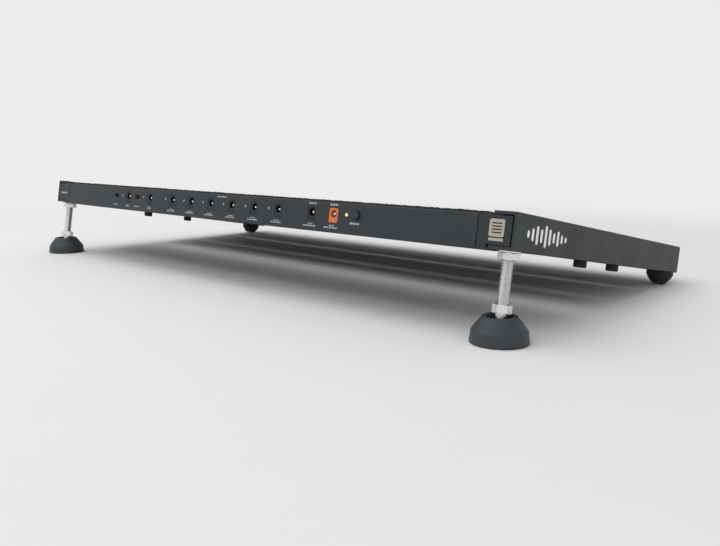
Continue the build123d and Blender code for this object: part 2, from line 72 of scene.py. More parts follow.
# ---------------------------------------------------------------- the board's frame
RAIL_HEIGHT = 24.0
joint_axes = {joint["name"]: Vector(joint["axis"]).normalized() for joint in frame["joints"]}
RUN = joint_axes["rail_a_slide"]
UP = joint_axes["foot_right_height"]
rail_low, rail_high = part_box("side_rail_right")
ORIGIN = Vector((0, rail_low.y, rail_high.z - RAIL_HEIGHT * MM * UP.z))
BOARD = Matrix.Translation(ORIGIN) @ Matrix((Vector((1, 0, 0)), RUN, UP)).transposed().to_4x4()
BOARD_MM = BOARD @ Matrix.Scale(MM, 4)
TO_BOARD_MM = BOARD_MM.inverted()


def span(node):
    """Lowest and highest corner of a CAD node in the board's frame, in millimetres."""
    points = [TO_BOARD_MM @ vertex.co for vertex in frame["nodes"][node].data.vertices]
    low = Vector([min(p[i] for p in points) for i in range(3)])
    high = Vector([max(p[i] for p in points) for i in range(3)])
    return low, high


def centre(node):
    """Middle of a CAD node in the board's frame, in millimetres."""
    low, high = span(node)
    return (low + high) / 2


# ---------------------------------------------------------------- materials
def srgb(red, green, blue):
    """Linear colour of a display colour given from 0 to 255."""
    def linear(value):
        value /= 255
        return value / 12.92 if value <= 0.04045 else ((value + 0.055) / 1.055) ** 2.4

    return (linear(red), linear(green), linear(blue), 1.0)


def scaled(colour, factor):
    """A colour made lighter or darker."""
    return tuple(min(1.0, channel * factor) for channel in colour[:3]) + (1.0,)


class Surface:
    """A Principled material and the few node chains that the finishes share."""

    def __init__(self, name, roughness, metallic=0.0, **sockets):
        self.material = bpy.data.materials.new(name)
        self.material.use_nodes = True
        self.tree = self.material.node_tree
        self.shader = next(n for n in self.tree.nodes if n.type == "BSDF_PRINCIPLED")
        self.shader.inputs["Metallic"].default_value = metallic
        self.shader.inputs["Roughness"].default_value = roughness
        for socket, value in sockets.items():
            self.shader.inputs[socket.replace("_", " ")].default_value = value
        self.place = self.node("ShaderNodeTexCoord").outputs["Object"]
        self.height = None

    def node(self, kind, **settings):
        made = self.tree.nodes.new(kind)
        for key, value in settings.items():
            setattr(made, key, value)
        return made

    def link(self, output, socket):
        self.tree.links.new(output, socket)

    def stretched(self, factors):
        """Object coordinates scaled per axis, for a finish with a direction."""
        mapping = self.node("ShaderNodeMapping")
        mapping.inputs["Scale"].default_value = factors
        self.link(self.place, mapping.inputs["Vector"])
        return mapping.outputs["Vector"]

    def noise(self, size_mm, detail=3.0, place=None, contrast=0.5):
        """Soft noise from 0 to 1 whose features are about size_mm across."""
        texture = self.node("ShaderNodeTexNoise")
        texture.inputs["Scale"].default_value = 1 / (size_mm * MM)
        texture.inputs["Detail"].default_value = detail
        self.link(place or self.place, texture.inputs["Vector"])
        spread = self.node("ShaderNodeMapRange")
        spread.inputs["From Min"].default_value = 0.5 - contrast / 2
        spread.inputs["From Max"].default_value = 0.5 + contrast / 2
        self.link(texture.outputs["Fac"], spread.inputs["Value"])
        return spread.outputs["Result"]

    def cells(self, size_mm, feature="F1"):
        """Distance in a field of cells about size_mm across."""
        texture = self.node("ShaderNodeTexVoronoi", feature=feature)
        texture.inputs["Scale"].default_value = 1 / (size_mm * MM)
        self.link(self.place, texture.inputs["Vector"])
        return texture.outputs["Distance"]

    def mixed(self, factor, low, high):
        """Colour between low and high by factor; either may be a colour or an output."""
        mix = self.node("ShaderNodeMix", data_type="RGBA")
        self.link(factor, mix.inputs["Factor"])
        for socket, value in (("A", low), ("B", high)):
            target = next(s for s in mix.inputs if s.name == socket and s.type == "RGBA")
            if isinstance(value, tuple):
                target.default_value = value
            else:
                self.link(value, target)
        return next(s for s in mix.outputs if s.type == "RGBA")

    def ranged(self, value, low, high):
        """A value from 0 to 1 spread between low and high."""
        spread = self.node("ShaderNodeMapRange")
        spread.inputs["To Min"].default_value = low
        spread.inputs["To Max"].default_value = high
        self.link(value, spread.inputs["Value"])
        return spread.outputs["Result"]

    def edges(self, radius_mm):
        """1 on convex and concave edges, 0 on flats."""
        slight, full = 0.02, 0.25  # how far the rounded normal leans, as 1 - cosine
        bevel = self.node("ShaderNodeBevel", samples=4)
        bevel.inputs["Radius"].default_value = radius_mm * MM
        normal = self.node("ShaderNodeNewGeometry").outputs["Normal"]
        dot = self.node("ShaderNodeVectorMath", operation="DOT_PRODUCT")
        self.link(bevel.outputs["Normal"], dot.inputs[0])
        self.link(normal, dot.inputs[1])
        spread = self.node("ShaderNodeMapRange")
        spread.inputs["From Min"].default_value = 1 - slight
        spread.inputs["From Max"].default_value = 1 - full
        self.link(dot.outputs["Value"], spread.inputs["Value"])
        return spread.outputs["Result"]

    def product(self, first, second):
        """Two values multiplied."""
        multiply = self.node("ShaderNodeMath", operation="MULTIPLY")
        self.link(first, multiply.inputs[0])
        self.link(second, multiply.inputs[1])
        return multiply.outputs["Value"]

    def colour(self, output):
        self.link(output, self.shader.inputs["Base Color"])

    def roughness(self, output):
        self.link(output, self.shader.inputs["Roughness"])

    def bump(self, height, depth_mm):
        """Adds one layer of relief, depth_mm from lowest to highest."""
        bump = self.node("ShaderNodeBump")
        bump.inputs["Strength"].default_value = 1.0
        bump.inputs["Distance"].default_value = depth_mm * MM
        self.link(height, bump.inputs["Height"])
        if self.height is not None:
            self.link(self.height, bump.inputs["Normal"])
        self.height = bump.outputs["Normal"]
        self.link(self.height, self.shader.inputs["Normal"])


ANTHRACITE = srgb(52, 56, 59)
PLASTIC_GREY = srgb(46, 51, 54)
FOOT_GREY = srgb(60, 65, 68)


def powder_coat():
    """Satin anthracite powder coat: fine orange peel, cloudy tone, and long edges lightened, partly
    as wear and partly as a painted highlight.
    """
    s = Surface("powder_coat", 0.5, Specular_IOR_Level=0.25)
    cloud = s.noise(60, 4)
    grain = s.noise(0.5, 2)
    tone = s.mixed(cloud, scaled(ANTHRACITE, 0.96), scaled(ANTHRACITE, 1.04))
    speckle = s.mixed(s.product(grain, grain), tone, scaled(ANTHRACITE, 1.25))
    # edges lightened in patches: partly wear, partly a painted highlight along the rounded edges
    wear_and_edge_highlight = s.product(s.edges(0.5), s.noise(7, 4, contrast=0.3))
    s.colour(s.mixed(s.ranged(wear_and_edge_highlight, 0, 0.5), speckle, srgb(124, 128, 130)))
    s.roughness(s.ranged(s.noise(25, 5), 0.44, 0.58))
    s.bump(s.noise(1.1, 2), 0.02)
    s.bump(grain, 0.012)
    return s.material


def moulded_plastic(name, colour, roughness):
    """Fine spark-eroded mould texture with a faint cloudy gloss and a painted highlight on every
    edge.
    """
    s = Surface(name, roughness, Specular_IOR_Level=0.32)
    grain = s.cells(0.45)
    tone = s.mixed(s.noise(18, 3), scaled(colour, 0.92), scaled(colour, 1.08))
    # painted highlight: every edge lightened to 1.6 times the colour
    s.colour(s.mixed(s.ranged(s.edges(0.4), 0, 0.2), tone, scaled(colour, 1.6)))
    s.roughness(s.ranged(s.noise(9, 4), roughness - 0.07, roughness + 0.07))
    s.bump(grain, 0.02)
    return s.material


def socket_plastic():
    """Mould-textured socket, with painted shade that turns its bore black."""
    s = Surface("jack_black", 0.5, Specular_IOR_Level=0.25)
    along = s.node("ShaderNodeVectorMath", operation="DOT_PRODUCT")
    s.link(s.place, along.inputs[0])
    along.inputs[1].default_value = RUN
    rear = ORIGIN.dot(RUN)
    # painted shade in the bore: grey within 0.3 mm of the rear face, near black from 0.9 mm in
    unshaded_until, full_shade_from = 0.3, 0.9
    depth = s.node("ShaderNodeMapRange")
    depth.inputs["From Min"].default_value = rear + unshaded_until * MM
    depth.inputs["From Max"].default_value = rear + full_shade_from * MM
    s.link(along.outputs["Value"], depth.inputs["Value"])
    face = s.mixed(s.noise(18, 3), srgb(40, 43, 45), srgb(46, 49, 51))
    s.colour(s.mixed(depth.outputs["Result"], face, srgb(7, 7, 8)))
    s.roughness(s.ranged(s.noise(9, 4), 0.45, 0.6))
    s.bump(s.cells(0.45), 0.02)
    return s.material


def cross_rail_coat():
    """Satin coat, a little lighter than the side rails', of the rails between them."""
    s = Surface("cross_rail_coat", 0.6, Specular_IOR_Level=0.15)
    s.colour(s.mixed(s.noise(60, 4), srgb(90, 94, 97), srgb(98, 102, 105)))
    s.roughness(s.ranged(s.noise(25, 5), 0.55, 0.7))
    s.bump(s.noise(0.5, 2), 0.012)
    return s.material


def loop_fabric():
    """Black nylon pile: every few fibres a little lighter, with a soft sheen."""
    s = Surface("loop_pile", 0.9, Sheen_Weight=0.02, Sheen_Roughness=0.5)
    fibre = s.mixed(s.noise(0.5, 2), srgb(3, 3, 4), srgb(24, 24, 25))
    s.colour(s.mixed(s.ranged(s.noise(14, 3), 0, 0.4), fibre, srgb(12, 12, 13)))
    s.bump(s.noise(0.25, 3), 0.12)
    return s.material


def woven_backing():
    """The tight weave that the loops stand on."""
    s = Surface("loop_backing", 0.95)
    bands = []
    for direction in "XY":
        wave = s.node("ShaderNodeTexWave", wave_type="BANDS", bands_direction=direction)
        wave.inputs["Scale"].default_value = 300
        s.link(s.place, wave.inputs["Vector"])
        bands.append(wave.outputs["Fac"])
    threads = s.product(*bands)
    s.colour(s.mixed(threads, srgb(6, 6, 7), srgb(20, 21, 22)))
    s.bump(threads, 0.15)
    return s.material


def zinc_plate():
    """Bright zinc: passivation clouds, turning marks and a few scuffs."""
    s = Surface("zinc_plate", 0.3, metallic=1.0)
    cloud = s.noise(5, 4)
    tone = s.mixed(cloud, srgb(220, 221, 221), srgb(236, 235, 231))
    s.colour(s.mixed(s.ranged(s.noise(1.2, 5, contrast=0.4), 0, 0.12), tone, srgb(196, 199, 202)))
    s.roughness(s.ranged(s.noise(2.2, 4), 0.25, 0.32))
    s.bump(s.noise(0.4, 2, place=s.stretched((0.3, 0.3, 4.0))), 0.003)
    return s.material


def black_oxide():
    """Oiled black oxide on the clamp screws."""
    s = Surface("black_oxide", 0.42, metallic=0.6)
    s.colour(s.mixed(s.noise(2.5, 4), srgb(20, 20, 22), srgb(44, 45, 47)))
    s.roughness(s.ranged(s.noise(1.5, 3), 0.34, 0.55))
    s.bump(s.noise(0.3, 2), 0.012)
    return s.material


def rubber():
    """Moulded rubber, dull, with a trace of dust on the high spots."""
    s = Surface("moulded_rubber", 0.75)
    dust = s.product(s.noise(6, 5, contrast=0.3), s.noise(0.6, 2))
    s.colour(s.mixed(s.ranged(dust, 0, 0.5), srgb(22, 24, 25), srgb(52, 54, 55)))
    s.roughness(s.ranged(s.noise(4, 3), 0.66, 0.85))
    s.bump(s.noise(0.35, 3), 0.03)
    return s.material


def contact_metal():
    """Plated centre pins with fine turning rings."""
    s = Surface("contact_metal", 0.18, metallic=1.0)
    s.colour(s.mixed(s.noise(1.2, 3), srgb(250, 249, 246), srgb(234, 233, 229)))
    s.roughness(s.ranged(s.noise(0.5, 2), 0.14, 0.28))
    s.bump(s.noise(0.12, 1), 0.004)
    return s.material


def lamp_lens(name, colour, glow):
    """Frosted lens of an indicator lamp."""
    s = Surface(name, 0.28, Emission_Strength=glow, Coat_Weight=0.5)
    s.colour(s.mixed(s.noise(0.6, 2), scaled(colour, 0.85), colour))
    s.shader.inputs["Emission Color"].default_value = colour
    s.bump(s.noise(0.3, 2), 0.01)
    return s.material


def printed_ink(name, colour):
    """Screen-printed ink, slightly uneven."""
    s = Surface(name, 0.55)
    s.colour(s.mixed(s.noise(0.7, 3), scaled(colour, 0.86), colour))
    s.bump(s.noise(0.3, 2), 0.006)
    return s.material


def badge_metal():
    """Champagne anodised badge with a fine brushed grain along its height."""
    s = Surface("badge_metal", 0.4, metallic=0.55)
    brushed = s.noise(0.35, 3, place=s.stretched((3.0, 1.0, 0.12)))
    s.colour(s.mixed(brushed, srgb(168, 160, 148), srgb(196, 188, 176)))
    s.roughness(s.ranged(brushed, 0.34, 0.5))
    s.bump(brushed, 0.008)
    return s.material


def solder_mask():
    """Green circuit board with a hint of copper below."""
    s = Surface("solder_mask", 0.35, Coat_Weight=0.3)
    tracks = s.cells(3.5, "DISTANCE_TO_EDGE")
    s.colour(s.mixed(s.ranged(tracks, 0, 1), srgb(8, 62, 38), srgb(16, 92, 54)))
    s.bump(tracks, 0.03)
    return s.material


MATERIALS = {
    "frame_coating": powder_coat(),
    "corner_plastic": moulded_plastic("corner_plastic", PLASTIC_GREY, 0.5),
    "loop_fabric": loop_fabric(),
    "jack_black": socket_plastic(),
    "jack_orange": moulded_plastic("jack_orange", srgb(216, 122, 76), 0.45),
    "contact_metal": contact_metal(),
    "led_lens": lamp_lens("led_lens", srgb(132, 135, 136), 0.0),
    "power_led_lens": lamp_lens("power_led_lens", srgb(250, 233, 172), 0.5),
    "circuit_board": solder_mask(),
    "module_black": moulded_plastic("module_black", srgb(26, 26, 28), 0.5),
    "zinc_steel": zinc_plate(),
    "black_steel": black_oxide(),
    "foot_plastic": moulded_plastic("foot_plastic", FOOT_GREY, 0.5),
    "rubber_black": rubber(),
    "white_nylon": moulded_plastic("white_nylon", srgb(214, 212, 204), 0.4),
}
BACKING = woven_backing()
CROSS_RAIL_COAT = cross_rail_coat()
WHITE_INK = printed_ink("white_ink", srgb(250, 250, 250))
GREY_INK = printed_ink("grey_ink", srgb(170, 174, 176))
BADGE = badge_metal()

# ---------------------------------------------------------------- mesh helpers
slot_of = {part["node"]: part["material_slot"] for part in frame["record"]["subparts"]}
body_nodes = frame["record"]["behaviour"]["bodies"]
body_of = {node: body for body, nodes in body_nodes.items() for node in nodes}


def piece(name, mesh, body, material, replaces=(), smooth=40):
    """A finished object: in place, riding on its body, with its material."""
    for face in mesh.polygons:
        face.use_smooth = True
    mesh.set_sharp_from_angle(angle=math.radians(smooth))
    mesh.materials.clear()
    mesh.materials.append(material)
    made = bpy.data.objects.new(name, mesh)
    bpy.context.scene.collection.objects.link(made)
    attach(made, body)
    if replaces:
        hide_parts(*replaces)
    return made


def mesh_from(name, bm, matrix=BOARD_MM):
    """A mesh in the row frame from a bmesh drawn in matrix's frame, normals outward."""
    bm.transform(matrix)
    bmesh.ops.recalc_face_normals(bm, faces=bm.faces)
    mesh = bpy.data.meshes.new(name)
    bm.to_mesh(mesh)
    bm.free()
    return mesh


def rounded_edges(made, width_mm):
    """A small real radius on every sharp edge."""
    bevel = made.modifiers.new("edge_radius", "BEVEL")
    bevel.width = width_mm * MM
    bevel.segments = 2
    bevel.limit_method = "ANGLE"
    bevel.angle_limit = math.radians(42)
    bevel.harden_normals = True


def finished(node, width_mm, material=None):
    """The CAD node with its triangles merged into flat faces and its edges rounded."""
    bm = bmesh.new()
    bm.from_mesh(frame["nodes"][node].data)
    bmesh.ops.remove_doubles(bm, verts=bm.verts, dist=2e-6)
    bmesh.ops.dissolve_limit(bm, angle_limit=math.radians(0.6), verts=bm.verts, edges=bm.edges)
    mesh = mesh_from(node + "_finished", bm, Matrix.Identity(4))
    slot = slot_of[node]
    made = piece(node + "_finished", mesh, body_of[node], material or MATERIALS[slot], [node])
    rounded_edges(made, width_mm)


def softened(profile, radius):
    """A profile of (radius, height) points with its inner corners turned into short arcs."""
    steps = 3
    points = [Vector(p) for p in profile]
    out = [points[0]]
    for before, corner, after in zip(points, points[1:], points[2:]):
        reach = min(radius, (before - corner).length / 2, (after - corner).length / 2)
        start = corner + (before - corner).normalized() * reach
        end = corner + (after - corner).normalized() * reach
        for i in range(steps + 1):
            t = i / steps
            out.append(start * (1 - t) ** 2 + corner * 2 * t * (1 - t) + end * t ** 2)
    out.append(points[-1])
    return out


def lathe(bm, profile, steps, centre_at=(0, 0), closed=False):
    """Turns a profile of (radius, height) about the vertical at centre_at."""
    rings = []
    for radius, height in profile:
        if radius < 1e-6:
            rings.append([bm.verts.new((*centre_at, height))])
            continue
        ring = []
        for i in range(steps):
            angle = 2 * math.pi * i / steps
            x = centre_at[0] + radius * math.cos(angle)
            y = centre_at[1] + radius * math.sin(angle)
            ring.append(bm.verts.new((x, y, height)))
        rings.append(ring)
    pairs = list(zip(rings, rings[1:]))
    if closed:
        pairs.append((rings[-1], rings[0]))
    for low, high in pairs:
        join_rings(bm, low, high)


def join_rings(bm, low, high):
    """Faces between two rings of points, either of which may be a single point."""
    steps = max(len(low), len(high))
    for i in range(steps if steps > 1 else 0):
        j = (i + 1) % steps
        if len(low) == 1:
            bm.faces.new((low[0], high[j], high[i]))
        elif len(high) == 1:
            bm.faces.new((low[i], low[j], high[0]))
        else:
            bm.faces.new((low[i], low[j], high[j], high[i]))


def hex_radius(angle, flats, turn):
    """Distance from the middle to a hexagon's side at an angle."""
    sector = math.radians(60)
    return flats / 2 / math.cos((angle - turn) % sector - sector / 2)


HEX_FACE = 0.95  # radius of a hexagon's round end face, as a share of half its flats


def hex_rings(bm, rings, turn, centre_at):
    """A closed solid from rings of (round radius or None, flats, chamfer, height).

    A radius of None follows the hexagon.  Its corners then lie above the height where chamfer
    is 1 and below it where chamfer is -1, as the usual 30 degree chamfer leaves them.
    """
    steps = 72
    made = []
    for radius, flats, chamfer, height in rings:
        ring = []
        for i in range(steps):
            angle = turn + 2 * math.pi * i / steps
            reach, level = radius, height
            if radius is None:
                reach = hex_radius(angle, flats, turn)
                level = height + chamfer * (reach - flats / 2 * HEX_FACE) * math.tan(math.radians(30))
            x = centre_at[0] + reach * math.cos(angle)
            y = centre_at[1] + reach * math.sin(angle)
            ring.append(bm.verts.new((x, y, level)))
        made.append(ring)
    for low, high in zip(made, made[1:] + made[:1]):
        join_rings(bm, low, high)


# ---------------------------------------------------------------- threads and nuts
PITCH = 1.25
THREAD_RADIUS = 4.0
THREAD_DEPTH = 0.76
THREAD_STEPS = 40
RINGS_PER_PITCH = 8
NEAR_CORNER = 0.57  # of the flats; a hexagon's corner lies at 0.577
HEX_HEIGHT = 6.0
SPINDLE_FLATS = 11.0
NUT_FLATS = 12.0
NECK = 4.0
BALL = 5.0
BALL_STEPS = 14


def thread_rings(bm, z0, z1, centre_at):
    """A rod with a real 60 degree thread between two heights; returns its end rings."""
    count = int((z1 - z0) / PITCH * RINGS_PER_PITCH)
    rings = []
    for k in range(count + 1):
        height = z0 + (z1 - z0) * k / count
        fade = min(1.0, (height - z0) / PITCH, (z1 - height) / PITCH + 0.15)
        ring = []
        for i in range(THREAD_STEPS):
            angle = 2 * math.pi * i / THREAD_STEPS
            phase = (height / PITCH - i / THREAD_STEPS) % 1.0
            # narrow flat crest and root, straight flanks between them
            slope = min(1.0, max(0.0, abs(phase - 0.5) * 2.3 - 0.12))
            reach = THREAD_RADIUS - THREAD_DEPTH * (slope * max(fade, 0) + (1 - max(fade, 0)))
            x = centre_at[0] + reach * math.cos(angle)
            y = centre_at[1] + reach * math.sin(angle)
            ring.append(bm.verts.new((x, y, height)))
        rings.append(ring)
    for low, high in zip(rings, rings[1:]):
        join_rings(bm, low, high)
    return rings[0], rings[-1]


def hex_turn(node, flats, level):
    """Angle of a corner of a CAD hexagon near a level, read from its own vertices."""
    middle = centre(node)
    corners = []
    for vertex in frame["nodes"][node].data.vertices:
        p = TO_BOARD_MM @ vertex.co - middle
        if abs(p.z + middle.z - level) < 0.05 and math.hypot(p.x, p.y) > flats * NEAR_CORNER:
            corners.append(math.atan2(p.y, p.x) % math.radians(60))
    return sum(corners) / len(corners)


def upper_hex_face(node):
    """Upper face of the spindle's hexagon: the highest level where its corners lie."""
    middle = centre(node)
    nut = centre(node.replace("spindle", "jam_nut"))
    levels = []
    for vertex in frame["nodes"][node].data.vertices:
        p = TO_BOARD_MM @ vertex.co
        if math.hypot(p.x - middle.x, p.y - nut.y) > SPINDLE_FLATS * NEAR_CORNER:
            levels.append(p.z)
    return max(levels)


def levelling_spindle(side):
    """Threaded rod, hexagon, neck and ball of one rear foot."""
    node = "foot_spindle_" + side
    low, high = span(node)
    where = (centre(node).x, centre("foot_jam_nut_" + side).y)
    ball_w = low.z + BALL
    hex_top = upper_hex_face(node)
    hex_foot = hex_top - HEX_HEIGHT
    turn = hex_turn(node, SPINDLE_FLATS, hex_top)
    bm = bmesh.new()
    bottom, top = thread_rings(bm, hex_top - 0.2, high.z - 0.3, where)
    bm.faces.new(top)
    bm.faces.new(list(reversed(bottom)))
    face = SPINDLE_FLATS / 2 * HEX_FACE
    hex_rings(
        bm,
        [
            (NECK - 0.2, None, 0, hex_foot),
            (face, None, 0, hex_foot),
            (None, SPINDLE_FLATS, 1, hex_foot),
            (None, SPINDLE_FLATS, -1, hex_top),
            (face, None, 0, hex_top),
            (3.0, None, 0, hex_top),
        ],
        turn,
        where,
    )
    waist = NECK - 0.4
    neck = [(NECK, hex_foot + 0.1), (NECK, hex_foot - 1.2), (waist, hex_foot - 1.6)]
    meet = math.asin(waist / BALL)
    arc = []
    for i in range(BALL_STEPS + 1):
        angle = meet + (math.pi - meet) * i / BALL_STEPS
        arc.append((BALL * math.sin(angle), ball_w + BALL * math.cos(angle)))
    arc[-1] = (0, arc[-1][1])
    lathe(bm, [(0, neck[0][1])] + neck + arc, 32, where)
    mesh = mesh_from(node + "_threaded", bm)
    metal = MATERIALS["zinc_steel"]
    piece(node + "_threaded", mesh, body_of[node], metal, [node], smooth=32)


def jam_nut(side):
    """Chamfered hexagon nut with an open bore."""
    node = "foot_jam_nut_" + side
    low, high = span(node)
    middle = centre(node)
    turn = hex_turn(node, NUT_FLATS, high.z)
    face = NUT_FLATS / 2 * HEX_FACE
    bore = THREAD_RADIUS + 0.05
    mouth = bore + 0.5
    bm = bmesh.new()
    hex_rings(
        bm,
        [
            (bore, None, 0, low.z + 0.5),
            (mouth, None, 0, low.z),
            (face, None, 0, low.z),
            (None, NUT_FLATS, 1, low.z),
            (None, NUT_FLATS, -1, high.z),
            (face, None, 0, high.z),
            (mouth, None, 0, high.z),
            (bore, None, 0, high.z - 0.5),
        ],
        turn,
        (middle.x, middle.y),
    )
    mesh = mesh_from(node + "_chamfered", bm)
    metal = MATERIALS["zinc_steel"]
    piece(node + "_chamfered", mesh, body_of[node], metal, [node], smooth=25)


def washer(side):
    """Pressed washer with a rolled outer edge."""
    node = "foot_washer_" + side
    low, high = span(node)
    middle = centre(node)
    radius = (high.x - low.x) / 2
    bore = THREAD_RADIUS + 0.2
    profile = [
        (bore, low.z),
        (radius - 0.5, low.z),
        (radius, low.z + 0.3),
        (radius, high.z - 0.12),
        (radius - 0.12, high.z),
        (bore, high.z),
    ]
    bm = bmesh.new()
    lathe(bm, profile, 72, (middle.x, middle.y), closed=True)
    mesh = mesh_from(node + "_pressed", bm)
    metal = MATERIALS["zinc_steel"]
    piece(node + "_pressed", mesh, body_of[node], metal, [node], smooth=30)


# ---------------------------------------------------------------- feet
PAD_EDGE = 17.1  # radius of the recess that holds the pad
BOWL_STEPS = 12


def world_lathe(name, node, profile, slot, steps=96):
    """A turned piece about the upright axis of a node, drawn in millimetres from the floor."""
    low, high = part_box(node)
    middle = (low + high) / 2
    bm = bmesh.new()
    lathe(bm, profile, steps)
    mesh = mesh_from(name, bm, Matrix.Translation((middle.x, middle.y, 0)) @ Matrix.Scale(MM, 4))
    return piece(name, mesh, body_of[node], MATERIALS[slot], [node], smooth=30)


def swivel_base(side):
    """Moulded foot: skirt, cone with two shallow rings, and the collar around the ball cup."""
    node = "foot_base_" + side
    low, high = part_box(node)
    radius = (high.x - low.x) / 2 / MM
    top = high.z / MM
    shoulder, shoulder_z = radius - 0.9, 8.0
    collar, recess = 11.2, 8.4
    ball_z, recess_floor, seat = 9.5, 12.0, 6.45
    slope = (top - shoulder_z) / (shoulder - collar)

    def on_cone(r):
        return shoulder_z + (shoulder - r) * slope

    outer = [(PAD_EDGE, 0.3), (radius, 0.3), (radius - 0.05, 0.9), (shoulder, shoulder_z)]
    for groove in (15.4, 13.3):
        before, after = groove + 0.35, groove - 0.35
        outer.append((before, on_cone(before)))
        outer.append((groove, on_cone(groove) - 0.16))
        outer.append((after, on_cone(after)))
    outer += [(collar, top), (recess, top), (recess, recess_floor)]
    # the hollow that the ball cup sits in
    seat_rim = math.asin((recess_floor - ball_z) / seat)
    outer.append((seat * math.cos(seat_rim), recess_floor))
    bowl = []
    for i in range(1, BOWL_STEPS + 1):
        angle = seat_rim - (seat_rim + math.pi / 2) * i / BOWL_STEPS
        bowl.append((seat * math.cos(angle), ball_z + seat * math.sin(angle)))
    bowl[-1] = (0, ball_z - seat)
    profile = [(0, 2.2), (PAD_EDGE, 2.2)] + softened(outer, 0.45) + bowl
    world_lathe(node + "_moulded", node, profile, "foot_plastic")


def floor_pad(side):
    """Rubber pad under a rear foot, with three rings of tread."""
    node = "foot_pad_" + side
    low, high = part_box(node)
    radius = (high.x - low.x) / 2 / MM
    thickness = 1.8
    profile = [(0, 0.0)]
    for ring in (4.0, 8.5, 13.0):
        profile += [(ring - 0.5, 0), (ring - 0.3, 0.6), (ring + 0.3, 0.6), (ring + 0.5, 0)]
    profile += [(radius - 0.4, 0), (radius, 0.4), (radius, thickness), (0, thickness)]
    world_lathe(node + "_tread", node, profile, "rubber_black", 64)


def rubber_foot(side):
    """Domed front foot with a recess for its screw."""
    node = "rubber_foot_" + side
    low, high = span(node)
    middle = centre(node)
    radius = (high.x - low.x) / 2
    tip, bottom = 5.6, low.z
    hole, head_hole, head_seat = 2.65, 5.0, -5.0
    rim, bulge_size, steps = -3.0, 0.55, 8
    profile = [(hole, high.z), (radius - 0.3, high.z), (radius, high.z - 0.4), (radius, rim)]
    for i in range(1, steps + 1):
        t = i / steps
        bulge = 4 * t * (1 - t) * bulge_size
        level = rim + (bottom - rim) * t - bulge * 0.3
        profile.append((radius + (tip - radius) * t + bulge, level))
    profile += [(tip - 0.25, bottom), (head_hole + 0.15, bottom), (head_hole, bottom + 0.15)]
    profile += [(head_hole, head_seat), (hole, head_seat)]
    bm = bmesh.new()
    lathe(bm, profile, 72, (middle.x, middle.y), closed=True)
    mesh = mesh_from(node + "_moulded", bm)
    rubber_black = MATERIALS["rubber_black"]
    piece(node + "_moulded", mesh, body_of[node], rubber_black, [node], smooth=35)


CLAMP_STEPS = 72
CLAMP_HEAD = 4.8
CLAMP_SHANK = 2.45
SOCKET_FLATS = 4.0
SOCKET_DEPTH = 2.6


def ring_about(bm, x, y, height, reach_at):
    """One ring of points about (x, y); reach_at gives the radius of point i at an angle."""
    ring = []
    for i in range(CLAMP_STEPS):
        angle = 2 * math.pi * i / CLAMP_STEPS
        reach = reach_at(i, angle)
        ring.append(bm.verts.new((x + reach * math.cos(angle), y + reach * math.sin(angle), height)))
    return ring


def clamp_screw(bm, x, y, level, shank_top):
    """Knurled socket screw: teeth round the head, a chamfered rim and a real hex socket."""
    rings = []
    for radius, height, knurl in (
        (CLAMP_HEAD - 0.7, level, 0),
        (CLAMP_HEAD - 0.2, level + 0.5, 0),
        (CLAMP_HEAD, level + 0.8, 0.22),
        (CLAMP_HEAD, -0.5, 0.22),
        (CLAMP_HEAD - 0.15, -0.05, 0),
        (CLAMP_SHANK, -0.05, 0),
        (CLAMP_SHANK, shank_top, 0),
    ):
        rings.append(ring_about(bm, x, y, height, lambda i, angle: radius - knurl * (i % 2)))
    for lower, upper in zip(rings, rings[1:]):
        join_rings(bm, lower, upper)
    bm.faces.new(rings[-1])
    socket = []
    for grow, height in ((0.5, level), (0.0, level + 0.3), (0.0, level + SOCKET_DEPTH)):
        flats = SOCKET_FLATS + grow
        socket.append(ring_about(bm, x, y, height, lambda i, angle: hex_radius(angle, flats, 0.0)))
    join_rings(bm, rings[0], socket[0])
    for lower, upper in zip(socket, socket[1:]):
        join_rings(bm, lower, upper)
    bm.faces.new(socket[-1])


def clamp_screws(letter):
    """The two clamp screws of a sliding rail."""
    node = "clamp_screws_" + letter
    low, high = span(node)
    bm = bmesh.new()
    for x in (low.x + CLAMP_HEAD, high.x - CLAMP_HEAD):
        clamp_screw(bm, x, (low.y + high.y) / 2, low.z, high.z)
    mesh = mesh_from(node + "_knurled", bm)
    steel = MATERIALS["black_steel"]
    piece(node + "_knurled", mesh, body_of[node], steel, [node], smooth=30)


# ---------------------------------------------------------------- loop fabric
BACKING_THICKNESS = 0.4
TUFT_SPACING = 1.35
TUFT_LOW, TUFT_HIGH = 0.55, 0.95  # tops of the tufts, as shares of the strip's thickness
STRAND_RADIUS = 0.12
LOOPS_PER_CM2 = 18


def loop_strip(node, seed):
    """A glued strip of loop fabric: woven backing, a tufted pile and loose loops on it."""
    low, high = span(node)
    rng = random.Random(seed)
    bm = bmesh.new()
    bmesh.ops.create_cube(bm, size=1)
    for vertex in bm.verts:
        side = [high[i] if vertex.co[i] > 0 else low[i] for i in range(2)]
        vertex.co = (*side, low.z + (BACKING_THICKNESS if vertex.co.z > 0 else 0))
    mesh = mesh_from(node + "_backing", bm)
    backing = piece(node + "_backing", mesh, body_of[node], BACKING, [node])
    rounded_edges(backing, 0.2)

    pile = piece(
        node + "_pile",
        mesh_from(node + "_pile", tufted_field(low, high, rng)),
        body_of[node],
        MATERIALS["loop_fabric"],
        smooth=75,
    )
    loops = piece(
        node + "_loops",
        mesh_from(node + "_loops", loose_loops(low, high, rng)),
        body_of[node],
        MATERIALS["loop_fabric"],
        smooth=80,
    )


